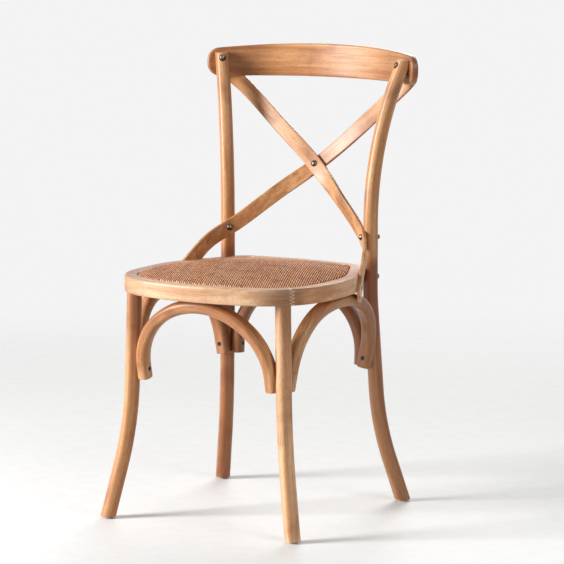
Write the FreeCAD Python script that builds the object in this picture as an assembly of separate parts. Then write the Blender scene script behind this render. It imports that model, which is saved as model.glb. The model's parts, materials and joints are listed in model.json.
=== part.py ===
import FreeCAD, Part
import os
import math

# Cross back dining chair, bent wood, in millimetres.
# X runs to the chair's right as a viewer in front sees it, Y to the rear, Z up.
# The shapes are built on a datum that lies between the legs and are moved at
# the end, so that the origin is on the floor in the middle of the footprint.

V = FreeCAD.Vector
os.makedirs("parts", exist_ok=True)

# Fits used between pieces
hole_clearance = 0.25          # radius left round a bolt shank
panel_clearance = 0.6          # gap round the drop-in seat
housing_bite = 1.2             # how far an arch end is hollowed to sit on a leg

# Seat ring
ring_bottom = 432.0
ring_height = 31.0
ring_border = 24.0             # visible wood round the woven seat
ring_width = 46.0              # wood from the outside to the opening
rebate_depth = 13.0
ring_front_y = -237.0
ring_arcs = [                  # radius and sweep, from the front centre to the rear
    (450.0, 14.7),             # front
    (129.0, 67.8),             # front corner
    (475.0, 14.0),             # side
    (110.0, 15.6),             # hip
    (1270.0, 6.0),             # flank, where the strap foot lies
    (50.0, 52.6),              # rear corner
]
top_round = 5.0
bottom_round = 3.5
joint_share = 0.55             # place of the finger joint along the front corner
joint_fingers = 5
joint_reach = 9.0
rear_joint_x = 104.0
ring_top = ring_bottom + ring_height
joint_pitch = ring_height / joint_fingers

# Seat filling
board_thickness = 6.0
weave_thickness = 1.8
dome_height = 11.0             # above the ring's top
dome_radius = 1900.0
dome_centre_y = -32.0
weave_edge_round = 4.0

# Legs and posts, round-cornered square bars
leg_bar = 28.0
leg_corner = 11.0
post_top_bar = 26.0
foot_height = 4.0
front_leg_at = (162.0, -174.4)     # where the leg meets the seat
front_leg_lean_way = -39.8         # direction in plan in which the foot splays
front_leg_top_lean = 1.8
front_leg_bend = (765.0, 12.5)     # radius and sweep
front_leg_bend_top = 265.0
tenon_radius = 10.0
tenon_length = 20.0
post_at = (160.4, 156.5)
post_lean_way = 48.5
post_low_bend = (560.0, 14.6)
post_low_bend_top = 225.0
post_mid_lean = 4.0
post_knee_radius = 700.0
post_knee_top = 430.0
post_high_bend_radius = 760.0
post_high_bend_start = 545.0
post_top = 857.0
post_top_round = 2.0

# Top rail, a bent plank behind the posts
rail_front_radius = 356.0
rail_thickness = 14.0
rail_front_y = 276.0
rail_top = 876.0
rail_bottom = 811.0
rail_half_angle = 39.9
rail_crown_radius = 2200.0
rail_sag_radius = 12900.0
rail_end_round = 25.0
rail_edge_round = 4.0
rail_centre_y = rail_front_y - rail_front_radius
rail_bolt_z = 847.2

# Arches under the seat
arch_bar = 24.0
arch_depth = 26.5              # seen from the side of the arch
arch_corner = 9.2
arch_bottom = 270.0
arch_crown_bite = 0.8          # planed flat against the seat ring
arch_end_round = 1.5
arch_screw_z = 289.0
front_arch_bend = (122.0, 48.0)    # shoulder radius and sweep
side_arch_bend = (111.0, 75.0)
front_arch_low_y = -173.4
front_arch_tilt = 12.0
rear_arch_low_y = 158.0
rear_arch_tilt = 3.3
side_arch_low_x = 158.0
side_arch_tilt = 10.5

# Crossing straps, each running from an upper corner to the opposite hip of the ring
strap_width = 29.5
strap_thickness = 6.5
strap_corner = 1.5
strap_past_pin = 21.0          # bar left past the last screw before it is rounded
strap_pin_angle = 34.0         # screw at the upper end, round the rail's centre
strap_pin_z = 821.0
strap_shoulder_at = (-187.0, 236.0, 803.0)     # just under the rail
strap_shoulder_facing = -22.0                  # which way the rear face looks, from +Y to +X
strap_upper_at = (-100.0, 236.5, 727.0)
strap_upper_facing = -6.0
cross_y = 223.4
cross_z = 644.3
cross_lean = 21.4              # the crossing leans back at its top
cross_gap = 0.2
strap_lower_at = (75.0, 187.5, 583.0)
strap_lower_facing = 32.0
strap_bolt_z = 519.8
strap_post_facing = 43.0
strap_at_post = 16.2           # strap centre to post centre
strap_hip_at = (172.5, 112.5, 498.0)           # above the seat, on the way to the foot
strap_hip_facing = 64.0
strap_share_high = 0.31        # where the strap meets the ring, as a share of the flank
strap_z_high = 461.0
strap_share_screw = 0.09
strap_screw_z = 438.0
strap_share_foot = 0.8         # where the bar would end if it ran on, on the arc before
strap_foot_drop = 13.0         # from the foot screw to the end of the bar

# Fasteners
bolt_radius = 3.0
dome_head_radius = 6.5
dome_head_height = 4.5
cap_nut_radius = 5.5
cap_nut_height = 5.5
seat_bolt_z = 443.5
bolt_head_sink = 0.8            # flat under a dome head on round wood
spot_clearance = 0.3
screw_radius = 2.1
screw_head_radius = 4.0
screw_head_height = 2.5
screw_sink = 3.0               # head below the wood's face
screw_recess_radius = 4.4
end_screw_length = 36.0
crown_screw_length = 34.0
board_screw_length = 22.5
foot_screw_length = 27.0
upper_screw_length = 17.0
nut_thread = 3.5               # shank inside a cap nut
seat_bolt_length = 56.0
glide_radius = 7.5
glide_pin_radius = 1.6
glide_pin_length = 14.0
foot_screw_radius = 4.2
foot_screw_height = 2.2
crown_screw_reach = 22.0       # each side of the middle of an arch
board_screw_inset = 35.0


# Small geometry helpers

def unit(azimuth):
    """Horizontal direction, degrees from +X towards +Y."""
    return V(math.cos(math.radians(azimuth)), math.sin(math.radians(azimuth)), 0)


def mirrored(shape):
    return shape.mirror(V(0, 0, 0), V(1, 0, 0))


def tangent_run(start, heading, steps, place):
    """Edges of a chain of tangent lines and arcs drawn in a plane.

    A step is (length,) for a line or (radius, sweep) for an arc; a positive
    sweep turns left. place() puts a point of the plane in space.
    """
    x, y = start
    edges = []
    for step in steps:
        h = math.radians(heading)
        if len(step) == 1:
            nx = x + step[0] * math.cos(h)
            ny = y + step[0] * math.sin(h)
            edges.append(Part.makeLine(place(x, y), place(nx, ny)))
        else:
            radius, sweep = step
            turn = 1.0 if sweep > 0 else -1.0
            cx = x - turn * radius * math.sin(h)
            cy = y + turn * radius * math.cos(h)
            spots = []
            for share in (0.5, 1.0):
                a = h + math.radians(sweep) * share
                spots.append((cx + turn * radius * math.sin(a), cy - turn * radius * math.cos(a)))
            middle, (nx, ny) = spots
            edges.append(Part.Arc(place(x, y), place(*middle), place(nx, ny)).toShape())
            heading += sweep
        x, y = nx, ny
    return edges, (x, y), heading


def round_bar_section(width, depth, corner, centre, across, along):
    """Closed wire of a rectangle with rounded corners, centred on a point."""
    edges = []
    w = width / 2.0
    d = depth / 2.0
    k = corner * (1 - math.sqrt(0.5))

    def spot(a, b):
        return centre + across * a + along * b

    for sa, sb in ((1, 1), (-1, 1), (-1, -1), (1, -1)):
        first = (sa * w, sb * (d - corner))
        last = (sa * (w - corner), sb * d)
        if sa * sb < 0:
            first, last = last, first
        middle = (sa * (w - k), sb * (d - k))
        edges.append(Part.Arc(spot(*first), spot(*middle), spot(*last)).toShape())
        if (sa, sb) == (1, 1):
            side = (spot(w - corner, d), spot(-w + corner, d))
        elif (sa, sb) == (-1, 1):
            side = (spot(-w, d - corner), spot(-w, -d + corner))
        elif (sa, sb) == (-1, -1):
            side = (spot(-w + corner, -d), spot(w - corner, -d))
        else:
            side = (spot(w, -d + corner), spot(w, d - corner))
        edges.append(Part.makeLine(*side))
    return Part.Wire(edges)


def swept_bar(edges, sections, plane_normal):
    """A bar of given sections along a flat path."""
    pipe = Part.BRepOffsetAPI.MakePipeShell(Part.Wire(edges))
    pipe.setBiNormalMode(plane_normal)
    for wire in sections:
        pipe.add(wire)
    pipe.build()
    pipe.makeSolid()
    return pipe.shape()


def end_frame(edge, at_end):
    """Point and direction of a path at one of its ends."""
    t = edge.LastParameter if at_end else edge.FirstParameter
    return edge.valueAt(t), edge.tangentAt(t)


def slab(z_low, z_high):
    """A slab far wider than the chair, for level cuts."""
    return Part.makeBox(1400, 1400, z_high - z_low, V(-700, -700, z_low))


def dome(base, direction, radius, height):
    """A shallow cap of a ball, turned about its own axis."""
    beside = direction.cross(V(0, 0, 1))
    beside.normalize()
    ball = (radius ** 2 + height ** 2) / (2.0 * height)
    half_angle = math.asin(radius / ball) / 2.0
    centre = base - direction * (ball - height)
    rim = base + beside * radius
    crest = base + direction * height
    middle = centre + direction * (ball * math.cos(half_angle)) + beside * (ball * math.sin(half_angle))
    profile = [
        Part.makeLine(base, rim),
        Part.Arc(rim, middle, crest).toShape(),
        Part.makeLine(crest, base),
    ]
    return Part.Face(Part.Wire(profile)).revolve(base, direction, 360)


def largest(shape):
    """The one closed body of a cut or fused shape, without the chips."""
    return sorted(shape.Solids, key=lambda s: s.Volume)[-1]


def one_solid(shape):
    """The same, cleaned of needless seams."""
    return largest(shape).removeSplitter()


# Seat ring

def ring_chain(inset):
    """Radius and sweep list of the right half of the ring outline, drawn in by inset."""
    arcs = [(radius - inset, sweep) for radius, sweep in ring_arcs]
    edges, end, heading = tangent_run((0, ring_front_y + inset), 0.0, arcs, lambda x, y: V(x, y, 0))
    left_over = 180.0 - heading
    arcs.append((end[0] / math.sin(math.radians(left_over)), left_over))
    return arcs


def ring_outline(inset, z):
    """Closed outline of the ring at a height."""
    half = ring_chain(inset)
    edges, end, heading = tangent_run((0, ring_front_y + inset), 0.0, half, lambda x, y: V(x, y, z))
    other = [e.mirror(V(0, 0, 0), V(1, 0, 0)) for e in edges]
    return Part.Wire(Part.__sortEdges__(edges + other))


def ring_spot(arc_number, share, inset=0.0):
    """Point and outward direction on the right half of the ring outline."""
    arcs = ring_chain(inset)[:arc_number]
    radius, sweep = ring_chain(inset)[arc_number]
    arcs.append((radius, sweep * share))
    edges, end, heading = tangent_run((0, ring_front_y + inset), 0.0, arcs, lambda x, y: V(x, y, 0))
    return V(end[0], end[1], 0), unit(heading - 90.0)


def ring_prism(inset, z_low, z_high):
    return Part.Face(ring_outline(inset, z_low)).extrude(V(0, 0, z_high - z_low))


def level_edges(shape, z):
    found = []
    for e in shape.Edges:
        box = e.BoundBox
        if abs(box.ZMin - z) < 1e-3 and abs(box.ZMax - z) < 1e-3:
            found.append(e)
    return found


def whole_ring():
    body = ring_prism(0.0, ring_bottom, ring_top)
    body = body.makeFillet(top_round, level_edges(body, ring_top))
    body = body.makeFillet(bottom_round, level_edges(body, ring_bottom))
    body = body.cut(ring_prism(ring_width, ring_bottom - 1, ring_top + 1))
    body = body.cut(ring_prism(ring_border, ring_top - rebate_depth, ring_top + 1))
    mouth = 1.2
    low_mouth = ring_outline(ring_border, ring_top - mouth)
    flare = Part.makeLoft([low_mouth, ring_outline(ring_border - mouth, ring_top)], True)
    return body.cut(flare)


def zigzag(offset):
    """Corner points of a finger joint's zigzag, rising from below the ring to above it."""
    points = []
    for i in range(-3, 2 * joint_fingers + 4):
        side = 1.0 if i % 2 else -1.0
        points.append((offset + side * joint_reach / 2.0, ring_bottom + (i - 0.5) * joint_pitch / 2.0))
    return points


def beyond_front_joint():
    """All that lies behind the finger joint at the front right corner."""
    spot, outward = ring_spot(1, joint_share)
    along = V(-outward.y, outward.x, 0)
    line = zigzag(0.0)
    start = spot + outward * 60.0
    corners = [start + along * a + V(0, 0, z) for a, z in line]
    corners.append(start + along * 700.0 + V(0, 0, line[-1][1]))
    corners.append(start + along * 700.0 + V(0, 0, line[0][1]))
    corners.append(corners[0])
    return Part.Face(Part.makePolygon(corners)).extrude(outward * -760.0)


def rear_piece_block():
    """What lies between the two finger joints of the rear ring piece."""
    line = zigzag(rear_joint_x)
    right = [V(x, 60.0, z) for x, z in line]
    left = [V(-x, 60.0, z) for x, z in reversed(line)]
    corners = right + left
    corners.append(corners[0])
    return Part.Face(Part.makePolygon(corners)).extrude(V(0, 300.0, 0))


# Seat filling

def seat_dome(inset, z_low, lower_by, edge_round):
    """A cushion shape with a slightly domed top and soft edge."""
    top = ring_top + dome_height - lower_by
    prism = ring_prism(inset, z_low, top + 5.0)
    centre = V(0, dome_centre_y, top - dome_radius)
    body = prism.common(Part.makeSphere(dome_radius, centre))
    rim = []
    for e in body.Edges:
        ends = [e.valueAt(e.FirstParameter), e.valueAt(e.LastParameter)]
        on_ball = [abs(p.distanceToPoint(centre) - dome_radius) < 1e-3 for p in ends]
        if all(on_ball) and e.BoundBox.DiagonalLength > 5.0:
            rim.append(e)
    return body.makeFillet(edge_round, rim)


def seat_filling():
    floor = ring_top - rebate_depth
    outside = ring_border + panel_clearance
    inside = outside + weave_thickness
    cover = seat_dome(outside, floor, 0.0, weave_edge_round)
    core = seat_dome(inside, floor, weave_thickness, weave_edge_round - weave_thickness)
    weave = one_solid(cover.cut(core))
    board = ring_prism(inside, floor, floor + board_thickness)
    pad = one_solid(core.cut(slab(floor - 1.0, floor + board_thickness)))
    return board, pad, weave


# Legs

def lean_place(spot, azimuth):
    """Puts a point of an upright plane, given as outward reach and height, in space."""
    way = unit(azimuth)
    return lambda r, z: V(spot[0], spot[1], 0) + way * r + V(0, 0, z)


def front_leg():
    place = lean_place(front_leg_at, front_leg_lean_way)
    radius, sweep = front_leg_bend
    straight = (ring_bottom - front_leg_bend_top) / math.cos(math.radians(front_leg_top_lean))
    steps = [(straight,), (radius, sweep), (140.0,)]
    edges, end, heading = tangent_run((0, ring_bottom), -90.0 + front_leg_top_lean, steps, place)
    normal = unit(front_leg_lean_way + 90.0)
    start, way = end_frame(edges[0], False)
    section = round_bar_section(leg_bar, leg_bar, leg_corner, start, normal, normal.cross(way))
    bar = swept_bar(edges, [section], normal)
    bar = bar.cut(slab(-200.0, foot_height)).cut(slab(ring_bottom, 600.0))
    top = V(front_leg_at[0], front_leg_at[1], ring_bottom)
    tenon = Part.makeCylinder(tenon_radius, tenon_length + 5.0, top - V(0, 0, 5.0), V(0, 0, 1))
    return bar.fuse(tenon)


def post_steps():
    low_radius, low_sweep = post_low_bend
    foot_lean = low_sweep + post_mid_lean
    rise = low_radius * (math.sin(math.radians(foot_lean)) - math.sin(math.radians(post_mid_lean)))
    low_start = post_low_bend_top - rise
    foot = (low_start + 20.0) / math.cos(math.radians(foot_lean))
    knee_rise = post_knee_radius * math.sin(math.radians(post_mid_lean))
    middle = (post_knee_top - knee_rise - post_low_bend_top) / math.cos(math.radians(post_mid_lean))
    upper_rise = post_top + 6.0 - post_high_bend_start
    upper_sweep = math.degrees(math.asin(upper_rise / post_high_bend_radius))
    steps = [(foot,), (low_radius, -low_sweep), (middle,), (post_knee_radius, -post_mid_lean)]
    steps.append((post_high_bend_start - post_knee_top,))
    steps.append((post_high_bend_radius, -upper_sweep))
    return steps, foot_lean


def rear_post():
    steps, foot_lean = post_steps()
    flat = lambda r, z: V(r, 0, z)
    edges, end, heading = tangent_run((0, -20.0), 90.0 + foot_lean, steps[:5], flat)
    start_reach = -end[0]
    place = lean_place(post_at, post_lean_way)
    edges, end, heading = tangent_run((start_reach, -20.0), 90.0 + foot_lean, steps, place)
    normal = unit(post_lean_way + 90.0)
    start, way = end_frame(edges[0], False)
    tip, tip_way = end_frame(edges[-1], True)
    low = round_bar_section(leg_bar, leg_bar, leg_corner, start, normal, normal.cross(way))
    high = round_bar_section(post_top_bar, post_top_bar, leg_corner, tip, normal, normal.cross(tip_way))
    bar = swept_bar(edges, [low, high], normal)
    bar = bar.cut(slab(-200.0, foot_height)).cut(slab(post_top, 1000.0))
    return bar.makeFillet(post_top_round, level_edges(bar, post_top))


def post_reach(z):
    """Outward reach of the post's upper bend at a height."""
    rise = max(0.0, z - post_high_bend_start)
    return post_high_bend_radius - math.sqrt(post_high_bend_radius ** 2 - rise ** 2)


# Top rail

def top_rail():
    centre = V(0, rail_centre_y, 0)
    rear_radius = rail_front_radius + rail_thickness
    corners = []
    for radius in (rail_front_radius, rear_radius):
        spots = [centre + unit(90.0 + a) * radius for a in (-rail_half_angle, 0.0, rail_half_angle)]
        corners.append(spots)
    inner, outer = corners
    face = Part.Face(Part.Wire([
        Part.Arc(*inner).toShape(),
        Part.makeLine(inner[2], outer[2]),
        Part.Arc(outer[2], outer[1], outer[0]).toShape(),
        Part.makeLine(outer[0], inner[0]),
    ]))
    low = rail_bottom - 30.0
    plank = face.extrude(V(0, 0, rail_top + 30.0 - low))
    plank.translate(V(0, 0, low))
    rearward = V(0, 1, 0)
    crown_axis = V(0, -100, rail_top - rail_crown_radius)
    sag_axis = V(0, -100, rail_bottom - rail_sag_radius)
    crown = Part.makeCylinder(rail_crown_radius, 600, crown_axis, rearward)
    sag = Part.makeCylinder(rail_sag_radius, 600, sag_axis, rearward)
    plank = plank.common(crown).cut(sag)
    ends = []
    for e in plank.Edges:
        box = e.BoundBox
        middle = e.valueAt((e.FirstParameter + e.LastParameter) / 2.0)
        long_enough = e.Length < rail_thickness * 1.5
        if long_enough and abs(middle.x) > 200.0:
            ends.append(e)
    plank = plank.makeFillet(rail_end_round, ends)
    rims = []
    for e in plank.Edges:
        if e.Length < rail_thickness * 0.9:
            continue
        t = (e.FirstParameter + e.LastParameter) / 2.0
        p = e.valueAt(t)
        reach = math.hypot(p.x, p.y - rail_centre_y)
        on_face = abs(reach - rail_front_radius) < 1e-3 or abs(reach - rear_radius) < 1e-3
        if on_face:
            rims.append(e)
    return plank.makeFillet(rail_edge_round, rims)


# Arches

def arch(half_span, bend, low_point, sideways, tilt):
    """A bent arch in a plane that leans outward by tilt degrees."""
    outward = V(0, 0, 1).cross(sideways) * -1.0
    rise = V(0, 0, 1) * math.cos(math.radians(tilt)) + outward * math.sin(math.radians(tilt))
    normal = sideways.cross(rise)
    radius, sweep = bend
    s = math.radians(sweep)
    t = math.radians(tilt)
    flat = arch_bar / 2.0 - arch_corner
    flat_depth = arch_depth / 2.0 - arch_corner
    section_rise = flat * math.cos(t) + flat_depth * abs(math.sin(t)) + arch_corner
    crown_z = ring_bottom - section_rise + arch_crown_bite
    height = (crown_z - arch_bottom) / math.cos(t)
    crown_radius = (half_span - radius + radius * math.cos(s)) / math.cos(s)
    straight = height - crown_radius * (1 - math.sin(s)) - radius * math.sin(s)
    shoulder = (radius, -sweep)
    steps = [(straight,), shoulder, (crown_radius, -2 * (90.0 - sweep)), shoulder, (straight,)]

    def place(u, v):
        return low_point + sideways * u + rise * v

    edges, end, heading = tangent_run((-half_span, 0.0), 90.0, steps, place)
    start, way = end_frame(edges[0], False)
    section = round_bar_section(arch_depth, arch_bar, arch_corner, start, normal, sideways)
    bar = swept_bar(edges, [section], normal)
    rims = []
    for f in bar.Faces:
        flat_face = f.Surface.TypeId == "Part::GeomPlane" and f.Area < arch_bar * arch_depth
        if flat_face and abs(f.normalAt(0, 0).dot(rise)) > 0.999:
            rims += f.Edges
    bar = bar.makeFillet(arch_end_round, rims)
    return bar.cut(slab(ring_bottom, ring_bottom + 100.0))


# Crossing straps

def rail_spot(angle, reach, z):
    """Point at an angle from the rear centre line, on a circle round the rail's centre."""
    a = math.radians(angle)
    return V(-reach * math.sin(a), rail_centre_y + reach * math.cos(a), z)


def facing_way(facing):
    """Rear-pointing level direction, degrees from +Y towards +X."""
    a = math.radians(facing)
    return V(math.sin(a), math.cos(a), 0)


def cross_way():
    a = math.radians(cross_lean)
    return V(0, math.cos(a), -math.sin(a))


def strap_stations(crossing_shift):
    """Centre points and rear-facing directions from the upper left to the lower right."""
    reach = rail_front_radius + rail_thickness + strap_thickness / 2.0
    post = V(post_at[0], post_at[1], strap_bolt_z)
    post_face = facing_way(strap_post_facing)
    end_turn = math.degrees(strap_past_pin * math.sqrt(0.5) / reach)
    end_angle = strap_pin_angle + end_turn
    end_z = strap_pin_z + strap_past_pin * math.sqrt(0.5)
    stations = [
        (rail_spot(end_angle, reach, end_z), facing_way(-end_angle)),
        (rail_spot(strap_pin_angle, reach, strap_pin_z), facing_way(-strap_pin_angle)),
        (V(*strap_shoulder_at), facing_way(strap_shoulder_facing)),
        (V(*strap_upper_at), facing_way(strap_upper_facing)),
        (V(0.0, cross_y, cross_z) + cross_way() * crossing_shift, cross_way()),
        (V(*strap_lower_at), facing_way(strap_lower_facing)),
        (post - post_face * strap_at_post, post_face),
        (V(*strap_hip_at), facing_way(strap_hip_facing)),
    ]
    for share, z in ((strap_share_high, strap_z_high), (strap_share_screw, strap_screw_z)):
        spot, out = ring_spot(4, share)
        stations.append((spot + out * (strap_thickness / 2.0) + V(0, 0, z), out))
    spot, out = ring_spot(3, strap_share_foot)
    end_z = strap_screw_z - strap_foot_drop
    stations.append((spot + out * (strap_thickness / 2.0) + V(0, 0, end_z), out))
    return stations


def rounded_end(bar, pin, facing, outward):
    """Rounds a strap about its last bolt or screw; outward runs along the strap past it."""
    outward = outward - facing * outward.dot(facing)
    outward.normalize()
    across = outward.cross(facing)
    start = pin - facing * 30.0
    near = [start + across * 60.0, start - across * 60.0]
    far = [spot + outward * 60.0 for spot in reversed(near)]
    beyond = Part.Face(Part.makePolygon(near + far + near[:1])).extrude(facing * 60.0)
    kept = Part.makeCylinder(strap_width / 2.0, 60.0, start, facing)
    return bar.cut(beyond.cut(kept))


def strap(crossing_shift):
    """A bent strap, lofted through sections that turn with its facing."""
    stations = strap_stations(crossing_shift)
    centres = [p for p, facing in stations]
    faces = [p + facing * 20.0 for p, facing in stations]
    gaps = [0.0]
    for a, b in zip(centres, centres[1:]):
        gaps.append(gaps[-1] + a.distanceToPoint(b))
    middle = Part.BSplineCurve()
    middle.interpolate(Points=centres, Parameters=gaps)
    beside = Part.BSplineCurve()
    beside.interpolate(Points=faces, Parameters=gaps)
    sections = []
    count = 30
    for i in range(count + 1):
        t = gaps[-1] * i / count
        centre = middle.value(t)
        way = V(*middle.tangent(t)[0])
        facing = beside.value(t) - centre
        facing = facing - way * facing.dot(way)
        facing.normalize()
        across = way.cross(facing)
        wire = round_bar_section(strap_width, strap_thickness, strap_corner, centre, across, facing)
        sections.append(wire)
    bar = Part.makeLoft(sections, True, False)
    bar = rounded_end(bar, centres[1], stations[1][1], centres[0] - centres[1])
    return rounded_end(bar, centres[-2], stations[-2][1], centres[-1] - centres[-2])


# Fasteners

def dome_bolt(face_point, way, length):
    """Dome head on a face, shank running along way into the wood."""
    head = dome(face_point, way * -1.0, dome_head_radius, dome_head_height)
    shank = Part.makeCylinder(bolt_radius, length, face_point - way * 1.0, way)
    return one_solid(head.fuse(shank))


def cap_nut(face_point, way, depth):
    """Domed nut on a face; way points away from the wood; depth is the shank left inside."""
    body = dome(face_point, way, cap_nut_radius, cap_nut_height)
    return one_solid(body.cut(Part.makeCylinder(bolt_radius, depth + 1.0, face_point - way * 1.0, way)))


def wood_screw(face_point, way, length):
    """Sunk screw: its head lies screw_sink below the face."""
    start = face_point + way * (screw_sink - screw_head_height)
    head = Part.makeCylinder(screw_head_radius, screw_head_height, start, way)
    socket = Part.makeCylinder(1.5, 1.4, start - way * 0.01, way)
    shank = Part.makeCylinder(screw_radius, length, start, way)
    return one_solid(head.fuse(shank).cut(socket))


def screw_hole(face_point, way, length):
    start = face_point + way * (screw_sink - screw_head_height)
    recess = Part.makeCylinder(screw_recess_radius, screw_sink + 12.0, face_point - way * 12.0, way)
    return recess.fuse(Part.makeCylinder(screw_radius, length, start, way))


def glide(spot):
    pad = Part.makeCylinder(glide_radius, foot_height, V(spot.x, spot.y, 0), V(0, 0, 1))
    low = [e for e in pad.Edges if e.BoundBox.ZMax < 1e-6]
    pad = pad.makeFillet(1.2, low)
    pin = Part.makeCylinder(glide_pin_radius, glide_pin_length, V(spot.x, spot.y, foot_height - 1.0))
    return one_solid(pad.fuse(pin))


def compound(shapes):
    return Part.makeCompound(shapes)


# Positions that follow from the sizes above

post_rail_reach = post_reach(rail_bolt_z)
post_rail_spot = V(post_at[0], post_at[1], 0) + unit(post_lean_way) * post_rail_reach
rail_bolt_angle = math.degrees(math.atan2(post_rail_spot.x, post_rail_spot.y - rail_centre_y))


def leg_spot(bar, z):
    """Middle of a leg at a height."""
    middle = bar.common(slab(z - 0.25, z + 0.25)).Solids[0].CenterOfMass
    return V(middle.x, middle.y, z)


def bar_half(bar_size, corner, turn):
    """Half the breadth of a round-cornered square bar seen turned by an angle."""
    a = math.radians(turn)
    return (bar_size / 2.0 - corner) * (abs(math.cos(a)) + abs(math.sin(a))) + corner


# Build

front_right = front_leg()
rear_right = rear_post()
ring = whole_ring()
rail = top_rail()
strap_front = strap(-(strap_thickness + cross_gap) / 2.0)
strap_rear = mirrored(strap((strap_thickness + cross_gap) / 2.0))

front_spot = leg_spot(front_right, arch_screw_z)
rear_spot = leg_spot(rear_right, arch_screw_z)
grip = bar_half(leg_bar, leg_corner, post_lean_way) + arch_bar / 2.0 - housing_bite

front_low = V(0, front_arch_low_y, arch_bottom)
rear_low = V(0, rear_arch_low_y, arch_bottom)
front_arch = arch(front_spot.x - grip, front_arch_bend, front_low, V(1, 0, 0), front_arch_tilt)
rear_arch = arch(rear_spot.x - grip, front_arch_bend, rear_low, V(-1, 0, 0), rear_arch_tilt)
side_front_end = front_spot.y + grip
side_rear_end = rear_spot.y - grip
side_span = (side_rear_end - side_front_end) / 2.0
side_middle = (side_rear_end + side_front_end) / 2.0
side_low = V(side_arch_low_x, side_middle, arch_bottom)
right_arch = arch(side_span, side_arch_bend, side_low, V(0, 1, 0), side_arch_tilt)

arches = {"front": front_arch, "rear": rear_arch, "right": right_arch, "left": mirrored(right_arch)}
legs = {
    "front_leg_right": front_right,
    "front_leg_left": mirrored(front_right),
    "rear_leg_right": rear_right,
    "rear_leg_left": mirrored(rear_right),
}

# Housings: ring round the posts and tenons, posts for the rail and straps, arches on the legs
for bar in legs.values():
    ring = ring.cut(bar)
for name in ("rear_leg_right", "rear_leg_left"):
    legs[name] = one_solid(legs[name].cut(rail).cut(strap_front).cut(strap_rear))
for name in arches:
    for bar in legs.values():
        arches[name] = arches[name].cut(bar)
rail = one_solid(rail.cut(strap_front).cut(strap_rear))
strap_front = one_solid(strap_front.cut(ring))
strap_rear = one_solid(strap_rear.cut(ring).cut(strap_front))

# Ring pieces, split last at the finger joints
def split_ring(body):
    right_side = beyond_front_joint()
    front = body.cut(right_side).cut(mirrored(right_side))
    others = body.cut(front)
    block = rear_piece_block()
    rear = others.common(block)
    sides = others.cut(block)
    right = [p for p in sides.Solids if p.CenterOfMass.x > 0]
    left = [p for p in sides.Solids if p.CenterOfMass.x < 0]
    return one_solid(front), one_solid(rear), one_solid(compound(right)), one_solid(compound(left))


def both(shape):
    """A fitting and its mirror image on the other side."""
    return [shape, mirrored(shape)]


def spot_face(point, way, radius):
    """Room for a head: a short cylinder standing out of a face against way."""
    return Part.makeCylinder(radius + spot_clearance, 12.0, point - way * 12.0, way)


def shank_hole(point, way, length):
    return Part.makeCylinder(bolt_radius + hole_clearance, length, point - way * 2.0, way)


# Rail bolts: post and rail
rail_way = facing_way(rail_bolt_angle)
rail_bolt_axis = V(post_rail_spot.x, post_rail_spot.y, rail_bolt_z)
to_rail_back = rail_front_radius + rail_thickness
axis_reach = math.hypot(rail_bolt_axis.x, rail_bolt_axis.y - rail_centre_y)
rail_head = rail_bolt_axis - rail_way * (bar_half(post_top_bar, leg_corner, 0.0) - bolt_head_sink)
rail_nut = rail_bolt_axis + rail_way * (to_rail_back - axis_reach - spot_clearance)
rail_grip = rail_head.distanceToPoint(rail_nut)
rail_bolts = both(dome_bolt(rail_head, rail_way, rail_grip + nut_thread))
rail_nuts = both(cap_nut(rail_nut, rail_way, nut_thread))
rail_tools = both(shank_hole(rail_head, rail_way, rail_grip + 4.0))
rail_tools += both(spot_face(rail_head, rail_way, dome_head_radius))
rail_tools += both(spot_face(rail_nut, rail_way * -1.0, cap_nut_radius))

# Strap bolts at the posts
strap_way = facing_way(strap_post_facing)
strap_axis = V(post_at[0], post_at[1], strap_bolt_z)
strap_head = strap_axis - strap_way * (strap_at_post + strap_thickness / 2.0 - spot_clearance)
strap_nut = strap_axis + strap_way * (bar_half(leg_bar, leg_corner, 0.0) - bolt_head_sink)
strap_grip = strap_head.distanceToPoint(strap_nut)
strap_bolts = both(dome_bolt(strap_head, strap_way, strap_grip + nut_thread))
strap_nuts = both(cap_nut(strap_nut, strap_way, nut_thread))
strap_tools = both(shank_hole(strap_head, strap_way, strap_grip + 4.0))
strap_tools += both(spot_face(strap_head, strap_way, dome_head_radius))
strap_tools += both(spot_face(strap_nut, strap_way * -1.0, cap_nut_radius))

# Bolt at the crossing
cross_at = V(0, cross_y, cross_z)
half_stack = strap_thickness + cross_gap / 2.0 - spot_clearance
cross_head = cross_at - cross_way() * half_stack
cross_back = cross_at + cross_way() * half_stack
cross_bolt = dome_bolt(cross_head, cross_way(), 2 * half_stack + nut_thread)
cross_nut = cap_nut(cross_back, cross_way(), nut_thread)
cross_tools = [shank_hole(cross_head, cross_way(), 2 * half_stack + 4.0)]
cross_tools.append(spot_face(cross_head, cross_way(), dome_head_radius))
cross_tools.append(spot_face(cross_back, cross_way() * -1.0, cap_nut_radius))

# Seat bolts through the posts into the ring
seat_way = unit(post_lean_way) * -1.0
seat_axis = V(post_at[0], post_at[1], seat_bolt_z)
seat_head = seat_axis - seat_way * (bar_half(leg_bar, leg_corner, 0.0) - bolt_head_sink)
seat_bolts = both(dome_bolt(seat_head, seat_way, seat_bolt_length))
seat_tools = both(spot_face(seat_head, seat_way, dome_head_radius))
seat_bore = Part.makeCylinder(bolt_radius, seat_bolt_length + 1.0, seat_head - seat_way, seat_way)
seat_tools += both(seat_bore)

# Screws of the strap feet, and those of the upper ends, which come from behind
def strap_screw(face, out, length):
    """Dome head on a face, shank running into the wood against out."""
    head = dome(face, out, foot_screw_radius, foot_screw_height)
    shank = Part.makeCylinder(screw_radius, length, face + out, out * -1.0)
    return one_solid(head.fuse(shank))


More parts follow.
